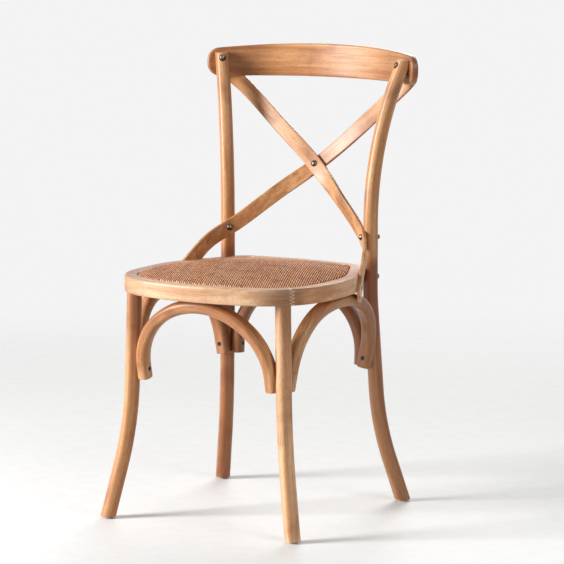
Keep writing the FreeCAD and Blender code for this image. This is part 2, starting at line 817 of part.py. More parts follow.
def strap_screw_tools(face, out, length):
    bore = Part.makeCylinder(screw_radius, length + 1.0, face + out, out * -1.0)
    return both(spot_face(face, out * -1.0, foot_screw_radius)) + both(bore)


foot_point, foot_out = ring_spot(4, strap_share_screw)
foot_face = foot_point + foot_out * (strap_thickness - spot_clearance) + V(0, 0, strap_screw_z)
foot_screws = both(strap_screw(foot_face, foot_out, foot_screw_length))
foot_tools = strap_screw_tools(foot_face, foot_out, foot_screw_length)

strap_back = rail_front_radius + rail_thickness + strap_thickness
upper_out = facing_way(-strap_pin_angle)
upper_face = rail_spot(strap_pin_angle, strap_back - spot_clearance, strap_pin_z)
upper_screws = both(strap_screw(upper_face, upper_out, upper_screw_length))
upper_tools = strap_screw_tools(upper_face, upper_out, upper_screw_length)


def tilt_shift(tilt):
    """How far a leaning arch has moved sideways at the height of its end screws."""
    return (arch_screw_z - arch_bottom) * math.tan(math.radians(tilt))


# Screws at the ends and crowns of the arches
half_arch = arch_bar / 2.0
front_end_y = front_arch_low_y - tilt_shift(front_arch_tilt)
rear_end_y = rear_arch_low_y + tilt_shift(rear_arch_tilt)
front_end = V(front_spot.x - grip - half_arch, front_end_y, arch_screw_z)
rear_end = V(rear_spot.x - grip - half_arch, rear_end_y, arch_screw_z)
side_x = side_arch_low_x + tilt_shift(side_arch_tilt)
side_front = V(side_x, side_front_end + half_arch, arch_screw_z)
side_rear = V(side_x, side_rear_end - half_arch, arch_screw_z)
end_places = [(front_end, V(1, 0, 0)), (rear_end, V(1, 0, 0))]
end_places += [(side_front, V(0, -1, 0)), (side_rear, V(0, 1, 0))]
end_screws = []
end_tools = []
for point, way in end_places:
    end_screws += both(wood_screw(point, way, end_screw_length))
    end_tools += both(screw_hole(point, way, end_screw_length + 1.0))

crown_lift = (ring_bottom - arch_bottom - half_arch)
crown_y_front = front_arch_low_y - crown_lift * math.tan(math.radians(front_arch_tilt))
crown_y_rear = rear_arch_low_y + crown_lift * math.tan(math.radians(rear_arch_tilt))
crown_x = side_arch_low_x + crown_lift * math.tan(math.radians(side_arch_tilt))
under_crown = ring_bottom - arch_bar
crown_places = [V(crown_screw_reach, crown_y_front, under_crown)]
crown_places.append(V(crown_screw_reach, crown_y_rear, under_crown))
crown_places.append(V(crown_x, side_middle + crown_screw_reach, under_crown))
crown_places.append(V(crown_x, side_middle - crown_screw_reach, under_crown))
crown_screws = []
crown_tools = []
for point in crown_places:
    crown_screws += both(wood_screw(point, V(0, 0, 1), crown_screw_length))
    crown_tools += both(screw_hole(point, V(0, 0, 1), crown_screw_length + 1.0))

board_screws = []
board_tools = []
for arc_number, share in ((0, 0.8), (2, 0.5), (6, 0.5)):
    spot, out = ring_spot(arc_number, share, board_screw_inset)
    point = spot + V(0, 0, ring_bottom)
    board_screws += both(wood_screw(point, V(0, 0, 1), board_screw_length))
    board_tools += both(screw_hole(point, V(0, 0, 1), board_screw_length))

glides = []
glide_tools = []
for bar in (front_right, rear_right):
    spot = leg_spot(bar, foot_height + 0.3)
    glides += both(glide(spot))
    pin_foot = V(spot.x, spot.y, foot_height - 1.0)
    glide_tools += both(Part.makeCylinder(glide_pin_radius, glide_pin_length + 1.0, pin_foot))


def bored(shape, tools):
    return largest(shape.cut(compound(tools)))


for name in ("rear_leg_right", "rear_leg_left"):
    through_post = rail_tools + strap_tools + seat_tools + end_tools + glide_tools
    legs[name] = bored(legs[name], through_post)
for name in ("front_leg_right", "front_leg_left"):
    legs[name] = bored(legs[name], end_tools + glide_tools)
for name in arches:
    arches[name] = bored(arches[name], end_tools + crown_tools)
through_strap = upper_tools + strap_tools + cross_tools + foot_tools
strap_front = bored(strap_front, through_strap)
strap_rear = bored(strap_rear, through_strap)
rail = bored(rail, rail_tools + upper_tools)
ring = bored(ring, seat_tools + foot_tools + crown_tools + board_tools)
board, pad, weave = seat_filling()
board = bored(board, board_tools)
ring_front, ring_rear, ring_right, ring_left = split_ring(ring)

nodes = {
    "top_rail": rail,
    "seat_ring_front": ring_front,
    "seat_ring_rear": ring_rear,
    "seat_ring_right": ring_right,
    "seat_ring_left": ring_left,
    "seat_board": board,
    "seat_pad": pad,
    "seat_weave": weave,
    "cross_strap_front": strap_front,
    "cross_strap_rear": strap_rear,
    "cross_bolt": cross_bolt,
    "cross_nut": cross_nut,
    "rail_bolts": compound(rail_bolts),
    "rail_nuts": compound(rail_nuts),
    "strap_bolts": compound(strap_bolts),
    "strap_nuts": compound(strap_nuts),
    "seat_bolts": compound(seat_bolts),
    "strap_foot_screws": compound(foot_screws),
    "strap_upper_screws": compound(upper_screws),
    "arch_end_screws": compound(end_screws),
    "arch_crown_screws": compound(crown_screws),
    "seat_board_screws": compound(board_screws),
    "foot_glides": compound(glides),
}
nodes.update(legs)
for name, shape in arches.items():
    nodes["arch_" + name] = shape

# Write the pieces, moved so that the origin is under the middle of the chair
middle_y = (ring_front_y + rail_front_y + rail_thickness) / 2.0
for name, shape in nodes.items():
    moved = shape.copy()
    moved.translate(V(0, -middle_y, 0))
    moved.exportStep("parts/" + name + ".step")
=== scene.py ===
# %% [markdown]
# A cross back dining chair: bent bars of lacquered oak, two crossing straps
# in the back, arched braces under the seat and a rattan seat in a wood ring.
# The solids of the frame come ready made, so this lesson gives them their
# finish, weaves the seat over its pad, and sets the chair in a pale studio.

# %% Load the solid frame
import bpy
import json
import math
from mathutils import Matrix, Vector
from mathutils.bvhtree import BVHTree

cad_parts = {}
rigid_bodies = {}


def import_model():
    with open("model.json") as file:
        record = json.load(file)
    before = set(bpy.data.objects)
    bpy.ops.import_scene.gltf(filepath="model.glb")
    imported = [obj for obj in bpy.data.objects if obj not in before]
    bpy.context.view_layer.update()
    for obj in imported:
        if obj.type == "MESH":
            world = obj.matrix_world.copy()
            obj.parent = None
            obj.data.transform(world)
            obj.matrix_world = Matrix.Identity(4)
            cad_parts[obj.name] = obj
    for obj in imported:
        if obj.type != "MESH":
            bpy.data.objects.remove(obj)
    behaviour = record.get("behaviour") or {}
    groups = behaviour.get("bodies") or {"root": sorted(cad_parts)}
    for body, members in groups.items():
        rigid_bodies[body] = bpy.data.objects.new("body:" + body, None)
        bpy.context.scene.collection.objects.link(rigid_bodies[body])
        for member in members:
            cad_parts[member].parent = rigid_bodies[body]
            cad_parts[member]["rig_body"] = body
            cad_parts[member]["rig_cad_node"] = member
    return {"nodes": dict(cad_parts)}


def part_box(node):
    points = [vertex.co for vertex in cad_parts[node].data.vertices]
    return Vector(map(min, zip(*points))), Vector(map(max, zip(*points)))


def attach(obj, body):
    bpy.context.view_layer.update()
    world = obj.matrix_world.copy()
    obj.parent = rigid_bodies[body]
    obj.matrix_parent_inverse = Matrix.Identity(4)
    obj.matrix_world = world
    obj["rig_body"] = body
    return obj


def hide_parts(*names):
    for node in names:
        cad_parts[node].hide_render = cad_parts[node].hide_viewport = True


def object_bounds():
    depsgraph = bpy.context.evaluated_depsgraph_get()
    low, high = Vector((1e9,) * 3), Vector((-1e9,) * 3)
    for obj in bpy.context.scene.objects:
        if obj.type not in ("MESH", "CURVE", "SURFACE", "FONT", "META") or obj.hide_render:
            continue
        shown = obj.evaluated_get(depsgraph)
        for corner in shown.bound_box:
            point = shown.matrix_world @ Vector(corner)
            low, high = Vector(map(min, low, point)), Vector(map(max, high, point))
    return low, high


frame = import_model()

nodes = frame["nodes"]
cad_box = [list(corner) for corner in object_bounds()]
chair_low, chair_high = (Vector(corner) for corner in cad_box)
print("solid pieces:", len(nodes))
print("chair size in metres:", [round(v, 3) for v in chair_high - chair_low])

# %% [markdown]
# Each finish is a small tree of shader nodes. Nodes can be added and linked one
# line at a time, but the tree is easier to read when one call adds a node, sets
# its values and links its inputs. So two helpers come first: a tree that grows
# by such calls, and a finish, which is a material with a word for each pattern.
# A third helper puts a finish on solid pieces.

# %% A short way to add shader nodes
class Tree:
    """A node tree that grows by one call for each node."""

    def __init__(self, tree):
        self.tree = tree

    def plug(self, socket, value):
        """Link a socket to another one, or give it a plain value."""
        if isinstance(value, bpy.types.NodeSocket):
            self.tree.links.new(value, socket)
        elif value is not None:
            socket.default_value = value

    def add(self, kind, inputs=(), **settings):
        """Add a node. Its inputs come in the node's own order, or by name."""
        made = self.tree.nodes.new(kind)
        for key, value in settings.items():
            setattr(made, key, value)
        pairs = inputs.items() if isinstance(inputs, dict) else enumerate(inputs)
        for key, value in pairs:
            self.plug(made.inputs[key], value)
        return made

    def calc(self, operation, *values):
        """Arithmetic on numbers and sockets."""
        return self.add("ShaderNodeMath", values, operation=operation).outputs[0]

    def vector(self, operation, first, second):
        """Arithmetic on points and directions."""
        return self.add("ShaderNodeVectorMath", (first, second), operation=operation).outputs["Vector"]

    def point(self, *parts):
        """A point made of three numbers."""
        return self.add("ShaderNodeCombineXYZ", parts).outputs[0]


print("a tree grows by:", [word for word in vars(Tree) if not word.startswith("_")])

# %% A material with a word for each pattern
class Finish(Tree):
    """A material, its main shader, and the patterns that feed it."""

    def __init__(self, name):
        self.material = bpy.data.materials.new(name)
        self.material.use_nodes = True
        super().__init__(self.material.node_tree)
        self.shader = self.tree.nodes["Principled BSDF"]
        self.output = self.tree.nodes["Material Output"]

    def place(self):
        """Where a point lies on the chair, in metres."""
        return self.add("ShaderNodeTexCoord").outputs["Object"]

    def reach(self, point, direction):
        """How far a point lies in a direction."""
        made = self.add("ShaderNodeVectorMath", (point, tuple(direction)), operation="DOT_PRODUCT")
        return made.outputs["Value"]

    def noise(self, where, per_metre, detail, roughness=0.55):
        """Soft random values, so many in a metre, or so many in each direction."""
        scale = per_metre
        if isinstance(per_metre, tuple):
            where = self.vector("MULTIPLY", where, per_metre)
            scale = 1.0
        wanted = {"Vector": where, "Scale": scale, "Detail": detail, "Roughness": roughness}
        return self.add("ShaderNodeTexNoise", wanted).outputs["Fac"]

    def band(self, value, low, high, low_to=0.0, high_to=1.0):
        """A soft step from one result to another, between two values."""
        wanted = (value, low, high, low_to, high_to)
        return self.add("ShaderNodeMapRange", wanted, interpolation_type="SMOOTHSTEP").outputs[0]

    def blend(self, share, first, second):
        """The first colour, with a share of the second over it."""
        made = self.add("ShaderNodeMix", data_type="RGBA")
        self.plug(made.inputs["Factor"], share)
        self.plug(made.inputs["A"], first)
        self.plug(made.inputs["B"], second)
        return made.outputs["Result"]

    def bump(self, height, distance, strength):
        """Small relief that is too fine to model."""
        wanted = {"Height": height, "Distance": distance, "Strength": strength}
        return self.add("ShaderNodeBump", wanted).outputs["Normal"]

    def set(self, **values):
        """Set the main shader's sockets by name."""
        for key, value in values.items():
            self.plug(self.shader.inputs[key.replace("_", " ")], value)


print("a finish adds:", [word for word in vars(Finish) if not word.startswith("_")])

# %% Put a finish on solid pieces
def dress(names, finish):
    """Give solid pieces one finish."""
    for name in names:
        slots = nodes[name].data.materials
        slots.clear()
        slots.append(finish.material)
    print(finish.material.name, "on", ", ".join(names))


print("pieces that wait for a finish:", len(nodes))

# %% [markdown]
# Wood grain runs along a bar, also where the bar was steamed and bent. A flat
# pattern would cut straight through the bends. So each kind of bar gets grain
# coordinates of its own, in metres: how far along the bar, how far across it,
# and how deep. A straight bar needs three directions. A bar bent round a centre
# uses the angle and the distance from that centre. A leg stands upright, and
# its sideways sweep in each bend is taken off again.

# %% Grain of a straight bar
upright = Vector((0.0, 0.0, 1.0))
sideways = Vector((1.0, 0.0, 0.0))
rearward = Vector((0.0, 1.0, 0.0))


def straight_grain(finish, along, across):
    """Grain along a direction."""
    across = (across - along * across.dot(along)).normalized()
    point = finish.place()
    return finish.point(*(finish.reach(point, way) for way in (along, across, along.cross(across))))


print("grain directions:", tuple(upright), tuple(sideways), tuple(rearward))

# %% Grain round a bend
def bent_grain(finish, centre, first, second, radius):
    """Grain round a centre, in the plane of two directions."""
    from_centre = finish.vector("SUBTRACT", finish.place(), tuple(centre))
    u = finish.reach(from_centre, first)
    v = finish.reach(from_centre, second)
    angle = finish.calc("ARCTAN2", v, u)
    squares = finish.calc("ADD", finish.calc("MULTIPLY", u, u), finish.calc("MULTIPLY", v, v))
    deep = finish.reach(from_centre, first.cross(second))
    return finish.point(finish.calc("MULTIPLY", angle, radius), finish.calc("SQRT", squares), deep)


print("bent grain runs along an arc: its angle times its radius")

# %% Grain of a leg
followed = 0.9                 # share of its radius up to which a bend is followed


def leg_grain(finish, foot_line, way, bends):
    """Grain up a leg. Each bend has a start height, a radius, and -1 below it or 1 above."""
    point = finish.place()
    height = finish.reach(point, upright)
    sweep = finish.calc("SUBTRACT", finish.reach(point, way), foot_line.dot(way))
    for start, radius, side in bends:
        into = finish.calc("MULTIPLY", finish.calc("SUBTRACT", height, start), side)
        into = finish.calc("MAXIMUM", into, 0.0)
        into = finish.calc("MINIMUM", into, radius * followed)
        square = finish.calc("MULTIPLY", into, into)
        root = finish.calc("SQRT", finish.calc("SUBTRACT", radius * radius, square))
        sweep = finish.calc("SUBTRACT", sweep, finish.calc("SUBTRACT", radius, root))
    return finish.point(height, sweep, finish.reach(point, way.cross(upright)))


print("leg grain runs upwards, less the sweep of each bend")

# %% [markdown]
# The oak is stained honey brown and lacquered. Seen close, it has broad bands
# of tone, thin darker lines of growth, dark streaks, a few small knots, and
# short open pores that run with the grain. A picture of wood could show them,
# but it would repeat and would not follow the bends. So each mark is a noise
# that is squeezed across the grain and drawn out along it. A slow noise that
# isn't stretched adds the cloudy look of an old stain, and a thin coat on top
# gives the soft sheen of lacquer.

# %% Colours of the oak
honey = (0.455, 0.188, 0.064, 1)
honey_pale = (0.67, 0.362, 0.168, 1)
honey_deep = (0.19, 0.050, 0.012, 1)
pore_brown = (0.11, 0.04, 0.016, 1)
joint_pale = (0.88, 0.68, 0.46, 1)
print("oak runs from", honey[:3], "to", honey_pale[:3])

# %% Marks of the oak
# How many come in a metre: along the grain, across it and in depth
bands_per_metre = (2.2, 48.0, 48.0)
streaks_per_metre = (5.0, 130.0, 130.0)
lines_per_metre = (9.0, 420.0, 420.0)
knots_per_metre = (34.0, 90.0, 90.0)
pores_per_metre = (95.0, 1900.0, 1900.0)
clouds_per_metre = 14.0
pore_depth = 0.00004
print("pores come about every", round(1000 / pores_per_metre[0]), "mm along the grain")

# %% Lacquered oak
def oak(name, grain, shift, shade_and_stain=None, joint=None, base=honey, light=honey_pale, figure=1.0):
    """Oak on a piece's own grain.

    The shift gives each piece another part of the pattern. The shade and stain,
    which is mostly painted shade, and the joint are functions that say how much
    of their colour a point gets, and the figure is the strength of the dark marks.
    """
    finish = Finish(name)
    where = finish.vector("ADD", grain(finish), (shift, shift * 0.37, shift * 0.71))
    bands = finish.noise(where, bands_per_metre, detail=3.0)
    streaks = finish.noise(where, streaks_per_metre, detail=3.0)
    lines = finish.noise(where, lines_per_metre, detail=4.0, roughness=0.65)
    knots = finish.noise(where, knots_per_metre, detail=1.0)
    pores = finish.noise(where, pores_per_metre, detail=1.0)
    clouds = finish.noise(where, clouds_per_metre, detail=2.0)
    colour = finish.blend(finish.band(bands, 0.36, 0.66), base, light)
    for mark, starts, is_full, share, dark in (
        (clouds, 0.52, 0.78, 0.60, honey_deep),
        (streaks, 0.50, 0.70, 0.32, honey_deep),
        (lines, 0.50, 0.72, 0.50, honey_deep),
        (knots, 0.76, 0.84, 0.80, pore_brown),
    ):
        colour = finish.blend(finish.band(mark, starts, is_full, 0.0, share * figure), colour, dark)
    # Painted shade, partly real stain on the ring, darkens the oak towards the deep honey colour.
    if shade_and_stain is not None:
        colour = finish.blend(shade_and_stain(finish), colour, honey_deep)
    pits = finish.band(pores, 0.60, 0.70, 0.0, 0.6)
    colour = finish.blend(pits, colour, pore_brown)
    if joint is not None:
        colour = finish.blend(joint(finish), colour, joint_pale)
    finish.set(
        Base_Color=colour,
        Roughness=finish.band(lines, 0.3, 0.7, 0.34, 0.46),
        Normal=finish.bump(finish.calc("SUBTRACT", 1.0, pits), distance=pore_depth, strength=0.6),
        Coat_Weight=0.55,
        Coat_Roughness=0.36,
        Specular_IOR_Level=0.15,
    )
    return finish


print("oak is ready: a name, a grain and a shift make one finish")

# %% [markdown]
# The front legs splay outward below the seat. The rear ones are one bar with
# the back posts: they bend outward below the seat and backward above it. Each
# bar has a tone of its own, and the tones paint light: the front right leg and
# the right post are paler, as painted sheen, and the front left leg is darker,
# as painted shade. The finish is darker just under the seat, as painted shade
# between the leg, the arches and the ring, and the rear legs are darker all the
# way down, as painted shade. Shade that follows the height gives that on every
# leg alike, and needs no painting by hand.

# %% Painted shade under the seat
shade_grows = (0.30, 0.43)     # heights between which it grows
shade_ends = (0.46, 0.50)      # heights between which it ends


def painted_shade_under_seat(low_share, high_share):
    """Painted shade that grows up a leg towards the ring, and ends above the seat."""
    def shade_and_stain(finish):
        height = finish.reach(finish.place(), upright)
        share = finish.band(height, *shade_grows, low_share, high_share)
        return finish.calc("MULTIPLY", share, finish.band(height, *shade_ends, 1.0, 0.0))
    return shade_and_stain


print("the stain grows up to", shade_grows[1], "m and ends at", shade_ends[1], "m")

# %% Lines and bends of the legs
def heading(degrees):
    """A level direction, turned from the chair's right towards its rear."""
    return Vector((math.cos(math.radians(degrees)), math.sin(math.radians(degrees)), 0.0))


def on_side(vector, side):
    """The same vector on the right (1) or the left (-1) of the chair."""
    return Vector((vector.x * side, vector.y, vector.z))


front_leg_line = Vector((0.162, -0.2009, 0.0))
front_leg_way = heading(-39.8)
front_leg_bends = ((0.265, 0.765, -1.0),)
post_line = Vector((0.1604, 0.130, 0.0))
post_way = heading(48.5)
post_bends = ((0.30, 0.62, -1.0), (0.545, 0.760, 1.0))
print("front legs splay towards", [round(v, 2) for v in front_leg_way])
print("rear legs and posts bend towards", [round(v, 2) for v in post_way])

# %% Finish of the legs
# Tones of the front legs and posts: the paler ones paint the lacquer's sheen, the darker one paints shade.
front_tones_painted_light = {
    "right": ((0.58, 0.280, 0.125, 1), (0.81, 0.510, 0.290, 1)),
    "left": ((0.40, 0.155, 0.050, 1), (0.59, 0.305, 0.138, 1)),
}
post_tones_painted_light = {
    "right": ((0.53, 0.240, 0.090, 1), (0.74, 0.420, 0.205, 1)),
    "left": (honey, honey_pale),
}
for word, side in (("right", 1), ("left", -1)):
    base, light = front_tones_painted_light[word]
    line, way = on_side(front_leg_line, side), on_side(front_leg_way, side)
    finish = oak(
        "oak_front_leg_" + word,
        lambda f: leg_grain(f, line, way, front_leg_bends),
        shift=3.1 + side,
        # Painted shade under the seat.
        shade_and_stain=painted_shade_under_seat(0.0, 0.45),
        base=base,
        light=light,
    )
    dress(["front_leg_" + word], finish)
    base, light = post_tones_painted_light[word]
    line, way = on_side(post_line, side), on_side(post_way, side)
    finish = oak(
        "oak_post_" + word,
        lambda f: leg_grain(f, line, way, post_bends),
        shift=7.3 + 2 * side,
        # Painted shade on the rear legs: strong all the way down, stronger under the seat.
        shade_and_stain=painted_shade_under_seat(0.6, 0.9),
        base=base,
        light=light,
    )
    dress(["rear_leg_" + word], finish)

# %% [markdown]
# The top rail is a plank bent round the sitter's back, so its grain runs round
# an upright axis. Its ends are darker than its middle, as painted shade. The two
# straps are thin flat bars. Each twists a little on its way down, but its length
# runs close to one slanting line, so straight grain along that line is true
# enough.

# %% Finish of the top rail
rail_centre = Vector((0.0, -0.1065, 0.8))
rail_radius = 0.36
rail_end = (0.09, 0.16)        # way from the middle over which the painted shade grows


def painted_shade_at_ends(finish):
    """Painted shade that grows from the middle of the rail to both ends."""
    from_middle = finish.calc("ABSOLUTE", finish.reach(finish.place(), sideways))
    return finish.band(from_middle, *rail_end, 0.0, 0.45)


rail = oak(
    "oak_rail",
    lambda f: bent_grain(f, rail_centre, rearward, sideways, rail_radius),
    shift=11.0,
    shade_and_stain=painted_shade_at_ends,
)
dress(["top_rail"], rail)

# %% Finish of the straps
strap_slope = math.radians(41.0)
left_half = (-0.14, -0.02)     # over this the darkening fades away to the right


def leftward(finish):
    """A little darker on the left half of a strap."""
    return finish.band(finish.reach(finish.place(), sideways), *left_half, 0.10, 0.0)


for name, side in (("cross_strap_front", -1), ("cross_strap_rear", 1)):
    along = Vector((side * math.cos(strap_slope), 0.0, math.sin(strap_slope)))
    strap = oak(
        "oak_" + name,
        lambda f: straight_grain(f, along, rearward),
        shift=15.0 + side,
        shade_and_stain=leftward,
    )
    dress([name], strap)

# %% [markdown]
# The seat ring is glued up from four bent pieces with finger joints. On the
# real chair a joint shows as a fine pale zigzag. The solid pieces do meet in
# fingers, but a tight glue line can't be seen between them, so the zigzag is
# drawn where they meet: a pale line where the way along the ring equals a zigzag
# of the height. The front corners are darker, partly by stain and partly by
# painted shade where the ring turns away from the window lamp, and the left end
# is darker by painted shade. The front piece is paler, as painted sheen, and the
# left piece darker, as painted shade.

# %% Zigzag of a finger joint
finger_half_height = 0.0031
finger_length = 0.009
lowest_finger = 0.43045        # height of a finger's corner near the ring's underside
line_width = (0.0008, 0.0022)  # clear up to the first, gone from the second


def zigzag_line(finish, past_joint):
    """Pale where the way past a joint meets the edge of its fingers."""
    height = finish.calc("SUBTRACT", finish.reach(finish.place(), upright), lowest_finger)
    rise = finish.calc("PINGPONG", height, finger_half_height)
    slope = finger_length / finger_half_height
    edge = finish.calc("MULTIPLY_ADD", rise, slope, -finger_length / 2)
    gap = finish.calc("ABSOLUTE", finish.calc("SUBTRACT", past_joint, edge))
    return finish.band(gap, *line_width, 0.75, 0.0)


print("fingers are", round(1000 * finger_length), "mm long")

# %% Joints, stain and painted shade of the ring
front_joint = Vector((0.1831, -0.2034, 0.0))
front_joint_way = Vector((0.616, 0.788, 0.0))
rear_joint_x = 0.104
ring_halves = (-0.011, -0.009)       # between the front half and the rear one
before_corner = (-0.075, -0.010)     # way past the joint over which the stain and painted shade grow
past_corner = (0.010, 0.040)         # and over which it ends
left_corner = (-0.17, -0.07)         # over this the left end's painted shade fades away


def past_front_joint(finish):
    """How far a point lies past the joint at a front corner, along the ring."""
    x, y, z = finish.add("ShaderNodeSeparateXYZ", (finish.place(),)).outputs
    folded = finish.point(finish.calc("ABSOLUTE", x), y, z)
    return finish.calc("SUBTRACT", finish.reach(folded, front_joint_way), front_joint.dot(front_joint_way))


def past_rear_joint(finish):
    """How far a point lies past a joint at the rear, away from the middle."""
    from_middle = finish.calc("ABSOLUTE", finish.reach(finish.place(), sideways))
    return finish.calc("SUBTRACT", from_middle, rear_joint_x)


def all_joints(finish):
    """The front joints on the front half of the ring, and the rear ones behind."""
    behind = finish.band(finish.reach(finish.place(), rearward), *ring_halves)
    front = zigzag_line(finish, past_front_joint(finish))
    return finish.blend(behind, front, zigzag_line(finish, past_rear_joint(finish)))


def corner_shade_and_stain(finish):
    """Darker round the front corners, partly stain and partly painted shade, and painted shade over the
    left end of the ring.
    """
    past = past_front_joint(finish)
    grows = finish.band(past, *before_corner, 0.0, 0.55)
    corners = finish.calc("MULTIPLY", grows, finish.band(past, *past_corner, 1.0, 0.0))
    left_end = finish.band(finish.reach(finish.place(), sideways), *left_corner, 0.35, 0.0)
    return finish.calc("MAXIMUM", corners, left_end)


print("front joints at", tuple(round(v, 3) for v in front_joint), "and mirrored")

# %% Finish of the seat ring
ring_centre = Vector((0.0, -0.035, 0.45))
ring_radius = 0.21
frontward = -rearward
# Where the grain's angle jumps, on the far side of its first direction, there
# would be a seam. So the grain of the front half is counted from the front.
# The front piece's paler tone paints the lacquer's sheen, and the left piece's darker tone paints shade.
for word, shift, first, base, light in (
    ("front", 20.0, frontward, (0.51, 0.275, 0.138, 1), (0.71, 0.455, 0.275, 1)),
    ("right", 23.7, frontward, (0.51, 0.228, 0.089, 1), (0.71, 0.387, 0.191, 1)),
    ("left", 27.4, frontward, (0.38, 0.175, 0.073, 1), (0.54, 0.296, 0.147, 1)),
    ("rear", 31.1, rearward, (0.45, 0.214, 0.091, 1), (0.64, 0.364, 0.187, 1)),
):
    finish = oak(
        "oak_ring_" + word,
        lambda f: bent_grain(f, ring_centre, first, sideways, ring_radius),
        shift=shift,
        shade_and_stain=corner_shade_and_stain,
        joint=all_joints,
        base=base,
        light=light,
        figure=0.55,
    )
    dress(["seat_ring_" + word], finish)

# %% [markdown]
# The four arches brace the legs under the seat. Each is one bar bent into a U,
# so its grain runs round a level axis in the middle of the arch. Painted shade
# is deeper at the crown, close to the ring, and deeper again towards the rear.

# %% Painted shade of the arches
arch_rise = (0.30, 0.42)       # heights between which the painted shade grows
arch_length = (-0.06, 0.08)    # from the front legs to the rear ones


def painted_shade_rising(share):
    """Painted shade of one share at the ends of an arch, and more at its crown."""
    def shade_and_stain(finish):
        return finish.band(finish.reach(finish.place(), upright), *arch_rise, share, share + 0.25)
    return shade_and_stain


def painted_shade_behind(finish):
    """Painted shade that grows towards the rear legs."""
    return finish.band(finish.reach(finish.place(), rearward), *arch_length, 0.15, 0.6)


print("the arches' stain grows from", arch_rise[0], "to", arch_rise[1], "m above the floor")

# %% Finish of the arches
arch_heart_height = 0.301
arch_radius = 0.12
for number, (word, across, shade_and_stain) in enumerate((
    ("front", sideways, painted_shade_rising(0.1)),
    ("rear", sideways, painted_shade_rising(0.75)),
    ("right", rearward, painted_shade_behind),
    ("left", rearward, painted_shade_behind),
)):
    low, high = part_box("arch_" + word)
    heart = (low + high) / 2
    heart.z = arch_heart_height
    finish = oak(
        "oak_arch_" + word,
        lambda f: bent_grain(f, heart, across, upright, arch_radius),
        shift=30.0 + 2.9 * number,
        shade_and_stain=shade_and_stain,
    )
    dress(["arch_" + word], finish)

# %% [markdown]
# The bolts are aged metal, and the wood screws are blackened steel. Both are
# bare metal with two colours that a fine noise mixes in patches, because a
# metal of one even colour would look new.

# %% Finish of the bolts and screws
def metal(name, bright, dull, smoothest):
    """Bare metal in patches of two colours, rougher where it is duller."""
    finish = Finish(name)
    patches = finish.noise(finish.place(), per_metre=260.0, detail=4.0)
    finish.set(
        Base_Color=finish.blend(finish.band(patches, 0.42, 0.62), bright, dull),
        Roughness=finish.band(patches, 0.35, 0.65, smoothest, smoothest + 0.2),
        Metallic=1.0,
    )
    return finish


aged_bronze = metal("aged_bronze", (0.20, 0.16, 0.12, 1), (0.05, 0.037, 0.027, 1), 0.2)
black_steel = metal("black_steel", (0.05, 0.047, 0.045, 1), (0.02, 0.02, 0.02, 1), 0.4)
bolts = ["cross_bolt", "cross_nut", "rail_bolts", "rail_nuts", "strap_bolts", "strap_nuts", "seat_bolts"]
dress(bolts + ["strap_foot_screws", "strap_upper_screws"], aged_bronze)
dress(["arch_end_screws", "arch_crown_screws", "seat_board_screws"], black_steel)

# %% [markdown]
# The glides under the feet are pale plastic, speckled so that they don't look
# like paint. The seat board is plain plywood that is seen only from below: its
# bare fibres are a noise drawn out in one direction.

# %% Finish of the glides and the seat board
plastic = Finish("glide_plastic")
speckle = plastic.noise(plastic.place(), per_metre=900.0, detail=2.0)
plastic.set(
    Base_Color=plastic.blend(speckle, (0.58, 0.54, 0.47, 1), (0.70, 0.66, 0.60, 1)),
    Roughness=0.55,
    Normal=plastic.bump(speckle, distance=0.00005, strength=0.5),
)
dress(["foot_glides"], plastic)

board = Finish("seat_board_plywood")
fibres = board.noise(board.place(), per_metre=(12.0, 500.0, 500.0), detail=3.0)
board.set(
    Base_Color=board.blend(board.band(fibres, 0.35, 0.7), (0.55, 0.40, 0.24, 1), (0.38, 0.25, 0.14, 1)),
    Roughness=0.7,
    Normal=board.bump(fibres, distance=0.0001, strength=0.5),
)
dress(["seat_board"], board)

# %% [markdown]
# The seat is a pad under a close weave of split rattan. The pale strands pass
# over four of the dark ones and under one, and each next strand dips two steps
# later, so the dips scatter and the pale strands draw fine slanting lines. A
# bump on a smooth sheet would look flat from the side, so the strands are real
# geometry: the light in the gaps between them is what makes a weave look like
# one. One small patch is woven from strips, and two arrays repeat it.

# %% Colours of the rattan
rattan_red = (0.55, 0.150, 0.062, 1)
rattan_brown = (0.42, 0.115, 0.050, 1)
rattan_gold = (0.98, 0.42, 0.185, 1)
rattan_rose = (0.94, 0.335, 0.17, 1)
rattan_pale = (1.0, 0.70, 0.41, 1)
rattan_dark = (0.085, 0.016, 0.007, 1)
strand_pitch = 0.0045          # from one strand to the next
print("strands in a metre:", round(1 / strand_pitch))

